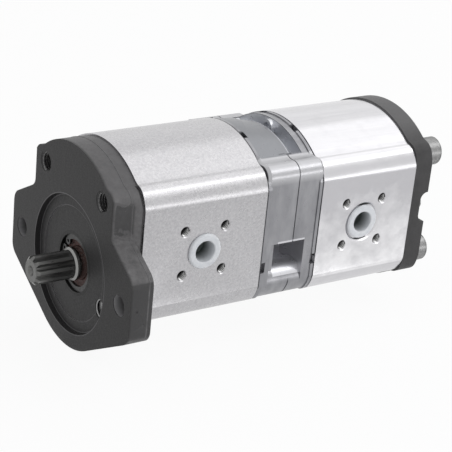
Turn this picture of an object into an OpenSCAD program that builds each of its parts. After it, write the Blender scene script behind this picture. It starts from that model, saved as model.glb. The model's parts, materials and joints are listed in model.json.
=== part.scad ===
// Tandem external gear pump: two gear sections in line on one drive line, closed by a cast
// front cover with a two-ear flange and by a cast rear cover, and held by four long screws.
// +X runs rearward along the drive shaft from the mounting face. +Z runs from the drive gears
// to the driven gears. The pressure ports face -Y and the suction ports face +Y.

/* [Gears] */
// Distance between the drive axis and the driven axis
gear_centres = 34; // [33:0.5:35]
// Teeth on each gear
gear_teeth = 12; // [11:1:13]
// Height of a tooth above the pitch circle
tooth_addendum = 2.6; // [2.2:0.1:2.6]
// Depth of a tooth gap below the pitch circle
tooth_dedendum = 3.5; // [3.3:0.1:3.8]
// Width of the front pair of gears
front_gear_w = 35; // [30:0.5:45]
// Width of the rear pair of gears
rear_gear_w = 24.4; // [24:0.2:35]
// Diameter of the gear journals
journal_d = 18; // [17:0.5:19]

/* [Bearing blocks] */
// Width of a bearing block along the shaft
block_w = 19.9; // [18:0.1:24]
// Wall of the bush in a bearing block
bush_wall = 1.5; // [1:0.25:2]
// Width of the seal on the back of a block
block_seal_w = 2; // [1.5:0.25:2.5]
// Depth of the seal groove in the back of a block
block_seal_t = 1.6; // [1.2:0.2:2]

/* [Housing outline] */
// Width across the two port faces
body_w = 88; // [86:1:94]
// Height over the two crowns
body_h = 102; // [100:0.5:105]
// Radius of the crowns
crown_r = 53; // [50:1:56]
// Height of a milled port face
port_face_h = 55; // [52:1:58]
// Radius of the corners round the long screws
corner_r = 7.6; // [7:0.2:8.4]
// Radius of the hollow between crown and corner
nook_r = 10; // [6:1:14]
// Spacing of the long screws, the same both ways
screw_spacing = 60; // [59:0.5:62]

/* [Front cover] */
// Thickness of the front cover
cover_t = 17.5; // [16:0.5:22]
// Thickness of the ears
ear_t = 13; // [10:0.5:14]
// Spacing of the two flange holes
ear_spacing = 106.4; // [104:0.2:112]
// Diameter of the flange holes
ear_hole_d = 11; // [9:0.5:12]
// Material from a flange hole's centre to the ear's end
ear_edge = 10.8; // [9:0.2:13]
// Radius of the rounded flange below the shaft
flange_r = 46.5; // [45:0.5:49]
// Radius of the ear corners
ear_corner_r = 8; // [5:0.5:10]
// Radius of the hollow between ear and side
ear_nook_r = 6; // [3:0.5:9]
// Diameter of the pilot recess
pilot_d = 75.6; // [70:0.2:77]
// Depth of the pilot recess
pilot_depth = 2.9; // [2:0.1:4]
// Diameter of the turned face inside the recess
turned_d = 62.8; // [50:0.2:64]
// How far each side leans in from the back of the cover to its front
side_taper = 3.5; // [2:0.25:5]
// How far the cover's crown and corners lie inside the body's
cover_inset = 0.9; // [0.3:0.1:1.5]
// Width of the step at the back of the cover's two sides
cover_step_w = 1.6; // [1:0.1:2]
// Depth of that step
cover_step_depth = 1.4; // [0.5:0.1:2]

/* [Shaft seal] */
// Diameter of the seal bore
seal_d = 31.6; // [30:0.2:34]
// Distance from the recess floor back to the seal
seal_set = 2.3; // [2.1:0.1:4]
// Length of the seal
seal_w = 6; // [5:0.25:6.5]
// Thickness of the retaining ring
ring_t = 1.2; // [1:0.1:1.5]
// Width of the retaining ring inside its bore
ring_w = 3; // [2:0.1:3.2]

/* [Drive shaft] */
// How far the shaft stands out of the mounting face
shaft_out = 22; // [18:0.5:32]
// Outer diameter of the spline
spline_d = 15.46; // [15:0.02:16]
// Teeth of the spline
spline_teeth = 9; // [7:1:11]
// Depth of the spline teeth
spline_depth = 1.55; // [1.2:0.05:1.8]
// Where the spline ends and the journal begins, behind the mounting face
spline_end = 0.2; // [-2:0.1:2]

/* [Ports] */
// Spacing of the screw holes round a pressure port
pressure_square = 24.75; // [24:0.25:28]
// Bore of a pressure port
pressure_bore = 15; // [13:0.5:16]
// Spacing of the screw holes round a suction port
suction_square = 28.28; // [27:0.02:30]
// Bore of a suction port
suction_bore = 20; // [18:0.5:21]
// Tapping diameter of the port screw holes
port_tap_d = 5; // [4.2:0.1:5.5]
// Depth of the port screw holes
port_tap_depth = 13; // [10:0.5:15]
// How far the rear ports lie ahead of the middle of the rear body
rear_port_lead = 1.9; // [0:0.1:2]
// Depth of the spot face round the rear pressure port
spot_depth = 1.2; // [0.8:0.1:2]

/* [Port caps] */
// How far a cap's rim reaches past the bore
cap_rim = 2.4; // [1.8:0.1:3]
// Thickness of a cap's rim
cap_rim_t = 1.5; // [1:0.1:2]
// Length of a cap's plug
cap_len = 10; // [7:0.5:13]
// Wall of a cap's plug
cap_wall = 1.5; // [1:0.1:2]

/* [Middle plates] */
// Length of the front unit's end plate
front_plate_t = 20.3; // [19:0.1:24]
// Length of the rear unit's end plate
rear_plate_t = 16.5; // [15.5:0.1:20]
// Length of the rim at each end of the pair
rim_t = 2.6; // [2:0.1:3]
// How far the plates lie inside their rims
plate_inset = 0.6; // [0.3:0.1:1]
// Wall left between a pocket and the joint face of a body
pocket_wall = 6; // [5.5:0.1:7]
// Height of the side pockets
pocket_h = 16.5; // [14:0.5:18]
// Depth of the side pockets
pocket_depth = 22; // [12:0.5:24]
// Depth of the channel at the back of the crown pockets
crown_pocket_depth = 9; // [6:0.5:10]
// Half width of the crown pockets
crown_pocket_half = 30.3; // [26:0.1:32]
// Radius of the cast boss in the crown channel
boss_r = 4.4; // [3:0.2:5]
// Length of the prying notches
notch_l = 3.3; // [2.5:0.1:4]
// Width of the prying notches
notch_w = 6; // [4:0.5:8]

/* [Shaft coupling] */
// Outer diameter of the coupling sleeve
coupling_d = 23; // [22:0.5:25]
// Length of the coupling sleeve
coupling_l = 24; // [20:0.5:25]
// Outer diameter of the splines inside the coupling
stub_d = 15; // [14:0.25:16]

/* [Rear cover] */
// Thickness of the rear cover
rear_cover_t = 11.9; // [11:0.1:16]
// How far the rear cover's crown and corners lie outside the body's
rear_cover_grow = 1; // [0:0.1:1.5]
// Height of the channel across the rear cover
channel_h = 18; // [12:0.5:20]
// Depth of the channel
channel_depth = 5; // [4:0.25:6]
// Height of the channel's middle above the middle of the outline
channel_up = 2.2; // [-2:0.1:4]
// Diameter of the blanking plug in the channel
blank_d = 8; // [6:0.5:9]

/* [Fasteners] */
// Thread diameter of the long screws
screw_d = 10; // [9:0.25:10]
// Height of a screw head
screw_head_h = 10; // [8:0.25:11]
// Diameter of a screw head
screw_head_d = 16; // [15:0.25:17]
// Thickness of a washer
washer_t = 2.5; // [1.5:0.1:3]
// How far the screws stop behind the mounting face
screw_tip = 5; // [4:0.25:8]
// Diameter of a dowel pin
dowel_d = 6; // [4:0.5:7]
// Length of a dowel pin
dowel_l = 12; // [10:0.5:14]
// Distance of the dowel pins from the middle plane
dowel_y = 36; // [34:0.5:37]

/* [Hidden] */
$fn = 96;
// Play left along the shaft at each face of a block
end_play = 0.15;
// Radial running clearance of a journal in its bush
running_fit = 0.05;
// Radial gap of pieces that are pressed or slipped together
slip_fit = 0.03;
// Radial clearance from the gear tips to the chamber
tip_gap = 0.3;
// Clearance between long screws and the holes they pass through
screw_gap = 0.5;
// Overlap that carries a cut past the face it opens in, and the smallest one, for cones
over = 1;
skin = 0.01;
// Chamfer at the mouth of a threaded hole
thread_chamfer = 0.8;
// Pressure angle of the gear teeth
pressure_angle = 28;
// How much thinner each tooth is than half a pitch, at the pitch circle
tooth_thinning = 0.3;
// Points along one flank of a gear tooth
flank_steps = 6;

mid_z = gear_centres / 2;
pitch_r = gear_centres / 2;
tip_r = pitch_r + tooth_addendum;
root_r = pitch_r - tooth_dedendum;
base_r = pitch_r * cos(pressure_angle);
chamber_r = tip_r + tip_gap;
journal_r = journal_d / 2;
bush_r = journal_r + running_fit + bush_wall;
half_w = body_w / 2;
screw_at = screw_spacing / 2;
// How far a cheek bends from the straight line between port face and corner, in degrees and
// as a share of that line's slope, and the least slope that has room for a cheek
cheek_bend = 16;
cheek_share = 0.72;
cheek_least = 8;
// Middles of the corner rounds, a little outside the screws
corner_y = screw_at + 4.3;
corner_z = screw_at + 1.2;

front_body_l = front_gear_w + 2 * block_w + 4 * end_play;
rear_body_l = rear_gear_w + 2 * block_w + 4 * end_play;
front_body_x = cover_t;
front_plate_x = front_body_x + front_body_l;
seam_x = front_plate_x + front_plate_t;
rear_body_x = seam_x + rear_plate_t;
rear_cover_x = rear_body_x + rear_body_l;
rear_face_x = rear_cover_x + rear_cover_t;
front_gear_x = front_body_x + block_w + 2 * end_play;
rear_gear_x = rear_body_x + block_w + 2 * end_play;
front_port_x = front_body_x + front_body_l / 2;
rear_port_x = rear_body_x + rear_body_l / 2 - rear_port_lead;

// Outer and inner edge of the body seals and the depth of their grooves
body_seal_out = chamber_r + 3.6;
body_seal_in = chamber_r + 1.6;
body_seal_t = 1.8;
// How far the spot face reaches past the cap's rim, at its edge and on its floor
spot_edge = 1.9;
spot_floor = 0.5;
// Middle of the coupling and the reach of the two stub splines into it
coupling_x = (front_plate_x + rear_body_x) / 2;
stub_gap = 2;
coupling_bore_r = coupling_d / 2 + 1.5;
// Inner and outer edge of the seal round the coupling and the depth of its groove
plate_seal_in = coupling_bore_r + 1.8;
plate_seal_out = coupling_bore_r + 4;
plate_seal_t = 1.8;
journal_hole_r = journal_r + 1.3;
plate_wall = pocket_wall - 1;
// Wall behind the side pockets of the rear plate, and the columns round the screws
rear_pocket_wall = pocket_wall + 2.5;
column_wall = 5;
column_r = screw_d / 2 + screw_gap + column_wall;
// Radius of the lobe below a side pocket, and how far it lies inside the plate's side
lobe_r = 10;
lobe_sunk = 0.3;
// Where the front plate's pockets begin, and the shallow step at the front of a side pocket
front_pocket_x = front_plate_x + pocket_wall;
pocket_step = 4.5;
pocket_step_depth = 4;
// How far a side pocket's top lies below the middle of the outline
pocket_drop = 4.5;
pocket_top = mid_z - pocket_drop;
// Depths of the crown pockets: the shelf at the front, the scoop behind it, and the ledge
// between the seam and the channel
crown_shelf_depth = 1.4;
crown_scoop_depth = 3.2;
crown_ledge_depth = 4;
crown_ledge_l = 4.2;
channel_wall = pocket_wall + 0.9;
// Front edge of a scoop, as distances ahead of the seam and across it
scoop_edge = [[4.5, -29.8], [6, -21.5], [8.3, -13], [13, -9], [7.8, 3.5], [6, 21.5], [4.5, 29.8]];
// How far a scoop stays clear of the columns round the screws
scoop_edge_gap = 0.4;
// Boss on the back wall of the upper channel
boss_l = 2.8;
boss_hole_r = 2.6;
boss_hole_depth = 2;
boss_sunk = 0.5;
// Pockets in a block's gear face that open the trapped oil to each port
relief_gap = 3;
relief_h = 10;
relief_depth = 1;
// Groove left round the seam between the plates, and the gap at the back of the rear rim
seam_groove_w = 0.35;
seam_groove_depth = 0.6;
rim_gap = 0.8;
// How far the plates' upper corners rise above the bodies'
full_corner_up = 1.8;
// Notches in the crowns: how far from the middle, and how far their floor lies below the crown
crown_notch_y = 14;
crown_notch_depth = 5.5;
// Room past each end of a dowel pin in its holes
dowel_room = 0.5;
// How far the journals stop short of a block's back
journal_short = 0.5;
// How deep the retaining ring sits in its groove, and its play there
ring_bite = 0.9;
ring_gap = 0.1;
turned_step = 0.5;
recess_floor = pilot_depth + turned_step;
seal_x = recess_floor + seal_set;
ring_x = seal_x - ring_t - ring_gap;
ear_tip = ear_spacing / 2 + ear_edge;
// Seat of the blanking plug on the channel floor, and its distance from the port face
blank_in = 6;
blank_x = rear_face_x - channel_depth;
blank_sunk = 4;
blank_y = blank_in - half_w;
blank_z = mid_z + channel_up + 1.4;
blank_neck = 0.6;

// Round rod along X
module rod(x, len, r, y = 0, z = 0) {
    translate([x, y, z])
        rotate([0, 90, 0])
            cylinder(h = len, r = r);
}

// Cone along X
module taper(x, len, r1, r2, y = 0, z = 0) {
    translate([x, y, z])
        rotate([0, 90, 0])
            cylinder(h = len, r1 = r1, r2 = r2);
}

// Flat outline in Y and Z, drawn out along X
module along_x(x, len) {
    translate([x, 0, 0])
        rotate([90, 0, 90])
            linear_extrude(len)
                children();
}

// Half section as radius and X, turned round the shaft axis
module turned(z = 0) {
    translate([0, 0, z])
        rotate([0, 90, 0])
            rotate_extrude()
                children();
}

// Copies its child to the four long screws
module at_screws() {
    for (sy = [-1, 1])
        for (sz = [-1, 1])
            translate([0, sy * screw_at, mid_z + sz * screw_at])
                children();
}

// Copies its child to the two dowel pins of a joint
module at_dowels() {
    for (sy = [-1, 1])
        translate([0, sy * dowel_y, gear_centres])
            children();
}

// Point where two circles cross, on the left of the way from the first to the second
function crossing(a, ra, b, rb) =
    let (d = norm(b - a),
         along = (ra * ra - rb * rb + d * d) / (2 * d),
         aside = sqrt(ra * ra - along * along),
         u = (b - a) / d)
    a + along * u + aside * [-u[1], u[0]];

// Direction from a circle's middle to where a line from point p touches it
function touching_angle(p, c, r) =
    atan2(p[1] - c[1], p[0] - c[0]) + acos(r / norm(p - c));

// One quarter of the housing outline, with its middle at the origin. The round stretches
// overlap by a hair where they meet, so that each pair crosses in one clear point. Between port
// face and corner lies a flat round, the cheek, where there is room for one
module outline_quarter(grow, side, full) {
    hair = 0.02;
    crown = crown_r + grow;
    corner = corner_r + grow;
    crown_c = [0, body_h / 2 - crown_r];
    corner_c = full ? [side - corner, corner_z + full_corner_up] : [corner_y, corner_z];
    nook_c = crossing(crown_c, crown + nook_r - hair, corner_c, corner + nook_r - hair);
    edge = [side, port_face_h / 2];
    a = touching_angle(edge, corner_c, corner - hair);
    touch = corner_c + (corner - hair) * [cos(a), sin(a)];
    if (!full && a > cheek_least) {
        polygon([[0, 0], [side, 0], [side, edge[1] - over], corner_c, [0, corner_c[1]]]);
        cheek(side, edge, corner_c, corner - hair, a + min(cheek_bend, cheek_share * a));
    } else
        polygon([[0, 0], [side, 0], edge, touch, corner_c, [0, corner_c[1]]]);
    translate(corner_c)
        circle(r = corner);
    intersection() {
        translate(crown_c)
            circle(r = crown);
        square([corner_c[0], body_h]);
    }
    difference() {
        polygon([crown_c, corner_c, nook_c]);
        translate(nook_c)
            circle(r = nook_r);
    }
}

// Flat round from the port face's edge to the corner, which it meets in the direction turn
module cheek(side, edge, corner_c, r, turn) {
    u = [cos(turn), sin(turn)];
    v = edge - corner_c;
    more = (v * v - r * r) / (2 * (r - v * u));
    intersection() {
        translate(corner_c - more * u)
            circle(r = r + more);
        polygon([
            corner_c, corner_c + (side - corner_c[0]) / u[0] * u, [side, edge[1] - 2 * over],
            [corner_c[0], edge[1] - 2 * over]
        ]);
    }
}

// Housing outline: flat port faces, four round corners and two crowns. With full corners the
// sides run straight up into the two upper corners, as on the middle plates
module outline(grow = 0, side = half_w, full = false) {
    translate([0, mid_z])
        for (my = [0, 1])
            for (mz = [0, 1])
                mirror([my, 0])
                    mirror([0, mz])
                        outline_quarter(grow, side, full && mz == 0);
}

// Two rounds on the gear axes joined by a straight waist
module race(r) {
    for (z = [0, gear_centres])
        translate([0, z])
            circle(r = r);
    translate([-r, 0])
        square([2 * r, gear_centres]);
}

// The gear chamber or anything else that fills it
module figure_eight(x, len, r) {
    rod(x, len, r);
    rod(x, len, r, z = gear_centres);
}

function involute(a) = tan(a) - a * PI / 180;

// Half the angle that a gear tooth covers at radius r
function half_tooth(r) =
    (90 / gear_teeth - tooth_thinning / 2 / pitch_r * 180 / PI)
    + (involute(pressure_angle) - involute(acos(base_r / max(r, base_r)))) * 180 / PI;

function polar(r, a) = [r * sin(a), r * cos(a)];

// Outline of a gear, with the middle of one tooth pointing along +Z
module gear_outline() {
    steps = [for (i = [0 : flank_steps]) base_r + (tip_r - base_r) * i / flank_steps];
    polygon([
        for (t = [0 : gear_teeth - 1])
            let (mid = t * 360 / gear_teeth)
            for (p = concat(
                [polar(root_r, mid - half_tooth(base_r) - 1)],
                [for (r = steps) polar(r, mid - half_tooth(r))],
                [for (i = [flank_steps : -1 : 0]) polar(steps[i], mid + half_tooth(steps[i]))],
                [polar(root_r, mid + half_tooth(base_r) + 1)]
            ))
                p
    ]);
}

// Gear pair member: the gear, its two journals and small relief chamfers at the ends
module gear_with_journals(x, w, front_l, rear_l, turn) {
    chamfer = 1;
    along_x(x, w)
        rotate(-turn)
            gear_outline();
    turned()
        polygon([
            [0, x - front_l], [journal_r - chamfer, x - front_l],
            [journal_r, x - front_l + chamfer], [journal_r, x + w + rear_l - chamfer],
            [journal_r - chamfer, x + w + rear_l], [0, x + w + rear_l]
        ]);
}

// A driven gear on the upper axis, with a tooth gap pointing at the drive gear
module driven_gear(x, w) {
    journal_l = block_w - journal_short;
    translate([0, 0, gear_centres])
        gear_with_journals(x, w, journal_l, journal_l, 180 + 180 / gear_teeth);
}

// Outline of a splined shaft, or of the hole for one when gap is more than nothing
module spline_outline(d, depth, gap = 0) {
    tip = d / 2 + gap;
    root = d / 2 - depth + gap;
    pitch = 360 / spline_teeth;
    // Half a tooth at its root and at its tip, as shares of the pitch
    wide = 0.34;
    thin = 0.17;
    polygon([
        for (t = [0 : spline_teeth - 1])
            for (p = [[root, -wide], [tip, -thin], [tip, 0], [tip, thin], [root, wide], [root, 0.5]])
                let (widen = gap / root * 180 / PI * (p[1] < 0 ? -1 : p[1] > 0 && p[1] < 0.5 ? 1 : 0))
                polar(p[0], (t + p[1]) * pitch + widen)
    ]);
}

// Front cover: the outline with leaning sides, the ear plate, the recess and the seal bore
module front_cover() {
    lean = atan2(side_taper, cover_t);
    color([0.27, 0.27, 0.28])
        difference() {
            union() {
                difference() {
                    along_x(0, cover_t)
                        outline(-cover_inset);
                    for (s = [0, 1])
                        mirror([0, s, 0])
                            translate([0, half_w - side_taper, -body_h])
                                rotate([0, 0, lean])
                                    translate([-over, 0, 0])
                                        cube([cover_t * 2, body_w, 3 * body_h]);
                    along_x(cover_t - cover_step_w, cover_step_w + over)
                        difference() {
                            for (s = [-1, 1])
                                translate([s * (corner_y + body_w) - body_w, -body_h])
                                    square([2 * body_w, 3 * body_h]);
                            outline(-cover_inset - cover_step_depth, half_w - cover_step_depth);
                        }
                }
                along_x(0, ear_t)
                    ear_plate();
            }
            rod(-over, pilot_depth + over, pilot_d / 2);
            rod(-over, recess_floor + over, turned_d / 2);
            rod(-over, seal_x + seal_w + over, seal_d / 2);
            rod(ring_x - ring_gap, ring_t + 2 * ring_gap, seal_d / 2 + ring_bite);
            rod(0, cover_t + over, journal_hole_r);
            for (s = [-1, 1])
                rod(-over, cover_t + 2 * over, ear_hole_d / 2, y = s * ear_spacing / 2);
            at_screws() {
                rod(-over, cover_t + 2 * over, screw_d / 2 + running_fit);
                taper(-skin, thread_chamfer, screw_d / 2 + thread_chamfer, screw_d / 2);
            }
            dowel_holes(front_body_x);
        }
}

// Outline of the rounded flange and its two ears
module ear_plate() {
    flank = 30;
    side_y = half_w - side_taper;
    corner_c = [ear_tip - ear_corner_r,
                (flange_r - ear_corner_r - (ear_tip - ear_corner_r) * sin(flank)) / cos(flank)];
    on_flange = flange_r * [sin(flank), cos(flank)];
    on_flank = corner_c + ear_corner_r * [sin(flank), cos(flank)];
    nook_c = [side_y + ear_nook_r,
              (flange_r + ear_nook_r - (side_y + ear_nook_r) * sin(flank)) / cos(flank)];
    nook_flank = nook_c - ear_nook_r * [sin(flank), cos(flank)];
    circle(r = flange_r);
    for (my = [0, 1])
        mirror([my, 0]) {
            for (mz = [0, 1])
                mirror([0, mz]) {
                    polygon([[0, 0], [ear_tip, 0], [ear_tip, corner_c[1]], corner_c, on_flank,
                             on_flange]);
                    translate(corner_c)
                        circle(r = ear_corner_r);
                }
            difference() {
                polygon([[side_y - over, nook_c[1]], nook_c, nook_flank,
                         [side_y - over, nook_flank[1]]]);
                translate(nook_c)
                    circle(r = ear_nook_r);
            }
        }
}

// Holes for the dowel pins of the joint at x, in both pieces that meet there
module dowel_holes(x) {
    at_dowels()
        rod(x - dowel_l / 2 - dowel_room, dowel_l + 2 * dowel_room, dowel_d / 2 + slip_fit);
}

// Lip seal: a case that fills its bore and a lip that runs on the journal
module shaft_seal() {
    out = seal_d / 2 - slip_fit;
    lip = journal_r + running_fit;
    case_t = 1;
    color([0.22, 0.15, 0.13])
        turned()
            polygon([
                [out, seal_x], [out - 3.6, seal_x], [out - 4.4, seal_x + 0.8],
                [lip + 0.4, seal_x + 0.8], [lip, seal_x + 1.2], [lip, seal_x + 1.8],
                [lip + 1, seal_x + 3], [lip + 1, seal_x + seal_w - 1],
                [lip + 2, seal_x + seal_w - 1], [lip + 2, seal_x + 2.4],
                [out - case_t, seal_x + 2.4], [out - case_t, seal_x + seal_w],
                [out, seal_x + seal_w]
            ]);
}

// Internal retaining ring with two eyed lugs and a gap between them
module seal_retaining_ring() {
    out = seal_d / 2 + ring_bite - slip_fit;
    inner = seal_d / 2 - ring_w;
    lug_r = 2.2;
    lug_at = inner + 0.2;
    eye_r = 0.9;
    middle = 31;
    spread = 14;
    color([0.36, 0.36, 0.37])
        along_x(ring_x, ring_t)
            rotate(middle)
                difference() {
                    union() {
                        difference() {
                            circle(r = out);
                            circle(r = inner);
                            polygon([[0, 0], 2 * out * [cos(spread), sin(spread)],
                                     2 * out * [cos(spread), -sin(spread)]]);
                        }
                        for (s = [-1, 1])
                            rotate(s * spread)
                                translate([lug_at, 0])
                                    circle(r = lug_r);
                    }
                    for (s = [-1, 1])
                        rotate(s * spread)
                            translate([lug_at, 0])
                                circle(r = eye_r);
                }
}

// Splined end, seal journal, gear and rear stub of the drive shaft, all in one piece
module drive_shaft() {
    tip_x = -shaft_out;
    r = spline_d / 2;
    root = r - spline_depth;
    nose = 1.6;
    runout = 0.4;
    centre_r = 1.6;
    centre_mouth_r = 3;
    centre_mouth_l = 2;
    centre_l = 5;
    color([0.45, 0.45, 0.46])
        difference() {
            union() {
                intersection() {
                    along_x(tip_x, shaft_out + spline_end + over)
                        spline_outline(spline_d, spline_depth);
                    turned()
                        polygon([[0, tip_x], [root - 0.2, tip_x], [r, tip_x + nose],
                                 [r, spline_end - runout], [root, spline_end + runout],
                                 [0, spline_end + runout]]);
                }
                gear_with_journals(front_gear_x, front_gear_w, front_gear_x - spline_end,
                                   front_plate_x - front_gear_x - front_gear_w, 0);
                stub(front_plate_x, coupling_x - stub_gap / 2);
            }
            rod(tip_x - over, centre_l + over, centre_r);
            taper(tip_x - skin, centre_mouth_l, centre_mouth_r, centre_r);
        }
}

// Stub spline from x1 to x2
module stub(x1, x2) {
    along_x(x1, x2 - x1)
        spline_outline(stub_d, spline_depth);
}

module front_driven_gear() {
    color([0.6, 0.6, 0.61])
        driven_gear(front_gear_x, front_gear_w);
}

// Rear drive gear with the stub that carries the coupling
module rear_drive_gear() {
    color([0.6, 0.6, 0.61]) {
        gear_with_journals(rear_gear_x, rear_gear_w, rear_gear_x - rear_body_x,
                           block_w - journal_short, 0);
        stub(coupling_x + stub_gap / 2, rear_body_x);
    }
}

module rear_driven_gear() {
    color([0.6, 0.6, 0.61])
        driven_gear(rear_gear_x, rear_gear_w);
}

// Splined sleeve that drives the rear section from the front shaft
module shaft_coupling() {
    color([0.5, 0.5, 0.52])
        difference() {
            rod(coupling_x - coupling_l / 2, coupling_l, coupling_d / 2);
            along_x(coupling_x - coupling_l / 2 - over, coupling_l + 2 * over)
                spline_outline(stub_d, spline_depth, 0.08);
        }
}

// Port on one side of a body: its bore, four tapped holes and the spot face if it has one
module port_cuts(x, side, bore, square, spot) {
    rim = bore / 2 + cap_rim;
    translate([x, side * half_w, mid_z])
        rotate([side * 90, 0, 0]) {
            translate([0, 0, -over])
                cylinder(h = half_w - chamber_r / 2 + over, r = bore / 2);
            if (spot > 0)
                translate([0, 0, -skin])
                    cylinder(h = spot + skin, r1 = rim + spot_edge, r2 = rim + spot_floor);
            for (sx = [-1, 1])
                for (sz = [-1, 1])
                    translate([sx * square / 2, sz * square / 2, 0]) {
                        translate([0, 0, -over])
                            cylinder(h = port_tap_depth + over, r = port_tap_d / 2);
                        translate([0, 0, -skin])
                            cylinder(h = thread_chamfer, r1 = port_tap_d / 2 + thread_chamfer,
                                     r2 = port_tap_d / 2);
                    }
        }
}

// Extruded body with its gear chamber, ports, screw holes, dowel holes and seal grooves
module gear_body(x, len, port_x, spot) {
    difference() {
        along_x(x, len)
            outline();
        figure_eight(x - over, len + 2 * over, chamber_r);
        at_screws()
            rod(x - over, len + 2 * over, screw_d / 2 + screw_gap);
        port_cuts(port_x, -1, pressure_bore, pressure_square, spot);
        port_cuts(port_x, 1, suction_bore, suction_square, 0);
        dowel_holes(x);
        dowel_holes(x + len);
        body_seal_grooves(x, len);
    }
}

module body_seal_grooves(x, len) {
    for (gx = [x - over, x + len - body_seal_t])
        along_x(gx, body_seal_t + over)
            difference() {
                race(body_seal_out);
                race(body_seal_in);
            }
}

module front_body() {
    color([0.78, 0.78, 0.79])
        gear_body(front_body_x, front_body_l, front_port_x, 0);
}

module rear_body() {
    color([0.84, 0.84, 0.85])
        gear_body(rear_body_x, rear_body_l, rear_port_x, spot_depth);
}

// Seals that follow the chamber in the two end faces of a body
module body_seals(x, len) {
    gap = 0.1;
    color([0.08, 0.08, 0.08])
        for (gx = [x, x + len - body_seal_t + gap])
            along_x(gx, body_seal_t - gap)
                difference() {
                    race(body_seal_out - gap);
                    race(body_seal_in + gap);
                }
}

module front_body_seals() {
    body_seals(front_body_x, front_body_l);
}

module rear_body_seals() {
    body_seals(rear_body_x, rear_body_l);
}

// Outline of the seal on the back of a block: two arcs round the journals and a bar between
module block_seal_outline(gap) {
    out = chamber_r - 2.2 - gap;
    inner = out - block_seal_w + 2 * gap;
    difference() {
        intersection() {
            for (z = [0, gear_centres])
                translate([0, z])
                    circle(r = out);
            translate([0, -2 * out])
                square([2 * out, gear_centres + 4 * out]);
        }
        for (z = [0, gear_centres])
            translate([0, z])
                circle(r = inner);
    }
}

// Bearing block that fills the chamber beside a pair of gears; back is the side away from them
module bearing_block(x, back) {
    groove_x = back < 0 ? x - over : x + block_w - block_seal_t;
    relief_x = back < 0 ? x + block_w - relief_depth : x - over;
    difference() {
        figure_eight(x, block_w, chamber_r - running_fit);
        for (z = [0, gear_centres])
            rod(x - over, block_w + 2 * over, bush_r + slip_fit, z = z);
        along_x(groove_x, block_seal_t + over)
            block_seal_outline(0);
        for (y = [relief_gap, -relief_gap - chamber_r])
            translate([relief_x, y, mid_z - relief_h / 2])
                cube([relief_depth + over, chamber_r, relief_h]);
    }
}

// X of the block ahead of the gears and of the block behind them, for a body that starts at x
function blocks_at(x, len) = [x + end_play, x + len - end_play - block_w];

module bushes(x, len) {
    color([0.72, 0.55, 0.3])
        for (bx = blocks_at(x, len))
            for (z = [0, gear_centres])
                difference() {
                    rod(bx, block_w, bush_r, z = z);
                    rod(bx - over, block_w + 2 * over, journal_r + running_fit, z = z);
                }
}

module block_seals(x, len) {
    gap = 0.1;
    at = blocks_at(x, len);
    color([0.1, 0.1, 0.1])
        for (sx = [at[0], at[1] + block_w - block_seal_t + gap])
            along_x(sx, block_seal_t - gap)
                block_seal_outline(gap);
}

module front_block_ahead() {
    color([0.7, 0.7, 0.66])
        bearing_block(blocks_at(front_body_x, front_body_l)[0], -1);
}

module front_block_behind() {
    color([0.7, 0.7, 0.66])
        bearing_block(blocks_at(front_body_x, front_body_l)[1], 1);
}

module rear_block_ahead() {
    color([0.7, 0.7, 0.66])
        bearing_block(blocks_at(rear_body_x, rear_body_l)[0], -1);
}

module rear_block_behind() {
    color([0.7, 0.7, 0.66])
        bearing_block(blocks_at(rear_body_x, rear_body_l)[1], 1);
}

module front_bushes() {
    bushes(front_body_x, front_body_l);
}

module rear_bushes() {
    bushes(rear_body_x, rear_body_l);
}

module front_block_seals() {
    block_seals(front_body_x, front_body_l);
}

module rear_block_seals() {
    block_seals(rear_body_x, rear_body_l);
}

// Outline of one side pocket: a window above the lobe round a lower screw
module side_pocket_outline(deep) {
    outer = -half_w - over;
    lobe_y = -half_w + plate_inset + lobe_sunk + lobe_r;
    lobe_z = mid_z - screw_at + 1;
    difference() {
        union() {
            translate([outer, pocket_top - pocket_h])
                square([deep - outer - half_w, pocket_h]);
            translate([outer, lobe_z])
                square([min(deep - outer - half_w, lobe_y - outer),
                        pocket_top - pocket_h - lobe_z + over]);
        }
        translate([lobe_y, lobe_z])
            circle(r = lobe_r);
    }
}

// Outline of one crown pocket, with a floor that runs parallel to the crown
module crown_pocket_outline(deep) {
    difference() {
        translate([-crown_pocket_half, mid_z + screw_at])
            square([2 * crown_pocket_half, body_h]);
        translate([0, mid_z + body_h / 2 - crown_r])
            circle(r = crown_r - deep);
        for (s = [-1, 1])
            translate([s * screw_at, mid_z + screw_at])
                circle(r = column_r);
    }
}

// Copies its child to both sides
module both_sides() {
    for (my = [0, 1])
        mirror([0, my, 0])
            children();
}

// Copies its child to the top and the bottom
module both_crowns() {
    for (mz = [0, 1])
        translate([0, 0, mid_z])
            mirror([0, 0, mz])
                translate([0, 0, -mid_z])
                    children();
}

// Hollow in the front plate's crown, with a floor parallel to the crown and a curving edge
module crown_scoop() {
    difference() {
        translate([0, 0, mid_z + screw_at])
            linear_extrude(body_h)
                polygon(concat(
                    [[seam_x + over, scoop_edge[0][1]]],
                    [for (p = scoop_edge) [seam_x - p[0], p[1]]],
                    [[seam_x + over, scoop_edge[len(scoop_edge) - 1][1]]]
                ));
        rod(front_plate_x, front_plate_t + 2 * over, crown_r - crown_scoop_depth,
            z = mid_z + body_h / 2 - crown_r);
        for (s = [-1, 1])
            rod(front_plate_x, front_plate_t + 2 * over, column_r + scoop_edge_gap,
                y = s * screw_at, z = mid_z + screw_at);
    }
}

// Notches that a lever fits, at the joint between a plate and a body
module pry_notches(x) {
    deep = 3;
    for (my = [0, 1])
        mirror([0, my, 0]) {
            translate([x, -half_w - over, -notch_w / 2])
                cube([notch_l, deep + over, notch_w]);
            translate([x, -crown_notch_y - notch_w / 2, mid_z + body_h / 2 - crown_notch_depth])
                cube([notch_l, notch_w, 2 * crown_notch_depth]);
        }
}

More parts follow.
